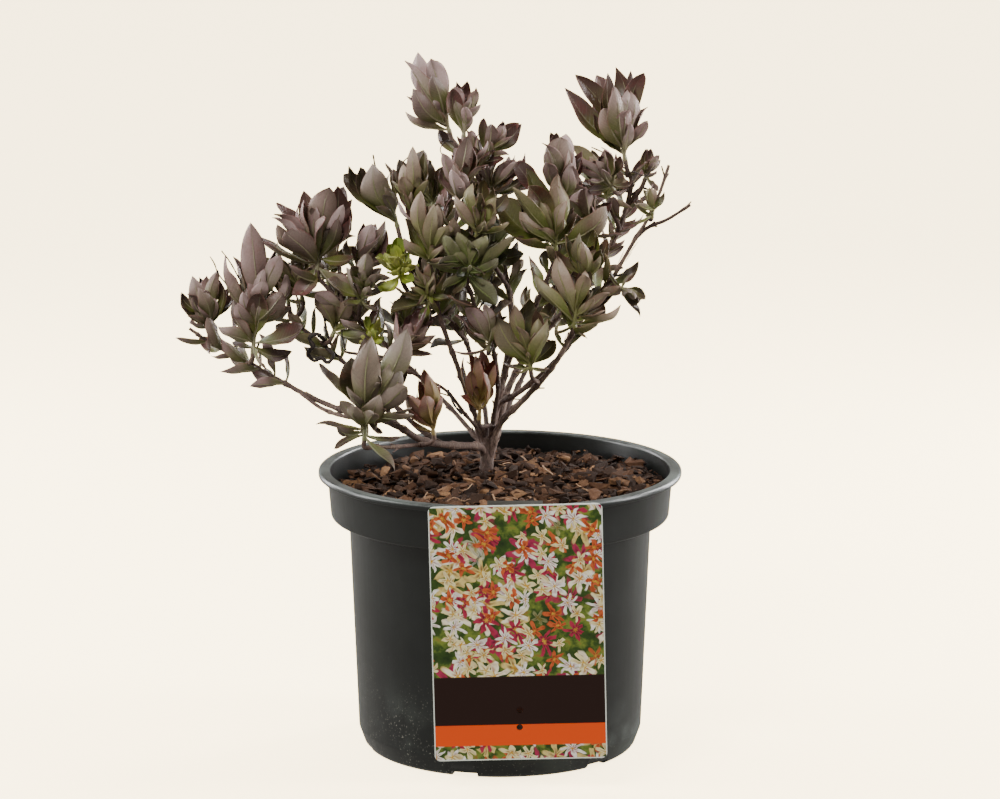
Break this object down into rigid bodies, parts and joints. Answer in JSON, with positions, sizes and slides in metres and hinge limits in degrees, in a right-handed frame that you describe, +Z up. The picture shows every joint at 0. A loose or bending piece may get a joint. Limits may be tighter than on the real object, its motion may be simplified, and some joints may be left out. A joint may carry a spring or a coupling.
{
  "type": "potted honeysuckle vine",
  "caption": "Young honeysuckle with bronze-green opposite leaves on twiggy woody stems, growing in a round black nursery pot of bark mulch with a picture label hooked on its rim.",
  "frame": {"origin": "centre of the pot's base, on the surface it stands on, where the pot's axis meets it", "axes": "+Z up along the pot's axis, -Y towards the label (the front), +X to the right seen from the front"},
  "size_m": [0.2664, 0.1912, 0.36],
  "materials": {
    "pot_plastic": "satin black moulded plastic, lighter on the worn lip",
    "soil_bark": "rough dark red-brown bark mulch",
    "label_card": "printed plastic card with a white edge",
    "bark": "rough flaking brown bark",
    "leaf_plum": "satin leaf, bronze-purple above, grey-pink below",
    "leaf_bronze": "satin leaf, brown-bronze above, paler below",
    "leaf_olive": "satin leaf, olive green",
    "leaf_green": "glossy leaf, dark green",
    "leaf_yellow": "soft young leaf, yellow-green",
    "leaf_pink": "soft leaf, brownish pink",
    "leaf_red": "satin young leaf, reddish brown"
  },
  "bodies": {
    "root": {"pot": "pot_plastic", "soil": "soil_bark", "label": "label_card", "woody_stems": "bark", "shoot_top_mid": "leaf_plum", "shoot_top_left": "leaf_plum", "shoot_top_right": "leaf_plum", "shoot_mid_right": "leaf_plum", "shoot_right_top": "leaf_plum", "shoot_right_top_side": "leaf_plum", "shoot_right_back": "leaf_bronze", "shoot_right_mid_top": "leaf_plum", "shoot_right_mid": "leaf_bronze", "shoot_right_small": "leaf_bronze", "shoot_right_low_shoot": "leaf_bronze", "shoot_droop": "leaf_olive", "shoot_bud_pair": "leaf_bronze", "shoot_front_right": "leaf_bronze", "shoot_centre_low": "leaf_red", "shoot_centre_small": "leaf_plum", "shoot_centre_front": "leaf_green", "shoot_mid_dense": "leaf_bronze", "shoot_mid_top": "leaf_plum", "shoot_mid_back": "leaf_olive", "shoot_mid_top_left": "leaf_bronze", "shoot_mid_left": "leaf_olive", "shoot_yellow_green": "leaf_yellow", "shoot_mid_low": "leaf_bronze", "shoot_left_pink": "leaf_pink", "shoot_green_rosette": "leaf_yellow", "shoot_big_left": "leaf_plum", "shoot_big_left_side": "leaf_plum", "shoot_left_under": "leaf_bronze", "shoot_left_back": "leaf_bronze", "shoot_left_front": "leaf_plum", "shoot_left_end": "leaf_plum", "shoot_front_left": "leaf_olive", "shoot_front_small": "leaf_red", "shoot_top_low": "leaf_plum", "shoot_right_top_low": "leaf_plum", "shoot_right_spine": "leaf_plum", "shoot_right_spine_low": "leaf_bronze", "shoot_mid_front": "leaf_bronze", "shoot_mid_low_right": "leaf_green", "shoot_mid_back_low": "leaf_olive", "shoot_left_fill": "leaf_olive", "shoot_left_inner": "leaf_bronze", "shoot_back_mid_shoot": "leaf_plum", "shoot_back_mid_low": "leaf_olive", "shoot_back_right_shoot": "leaf_plum", "shoot_back_left_shoot": "leaf_bronze", "shoot_back_left_low": "leaf_olive"}
  },
  "joints": []
}
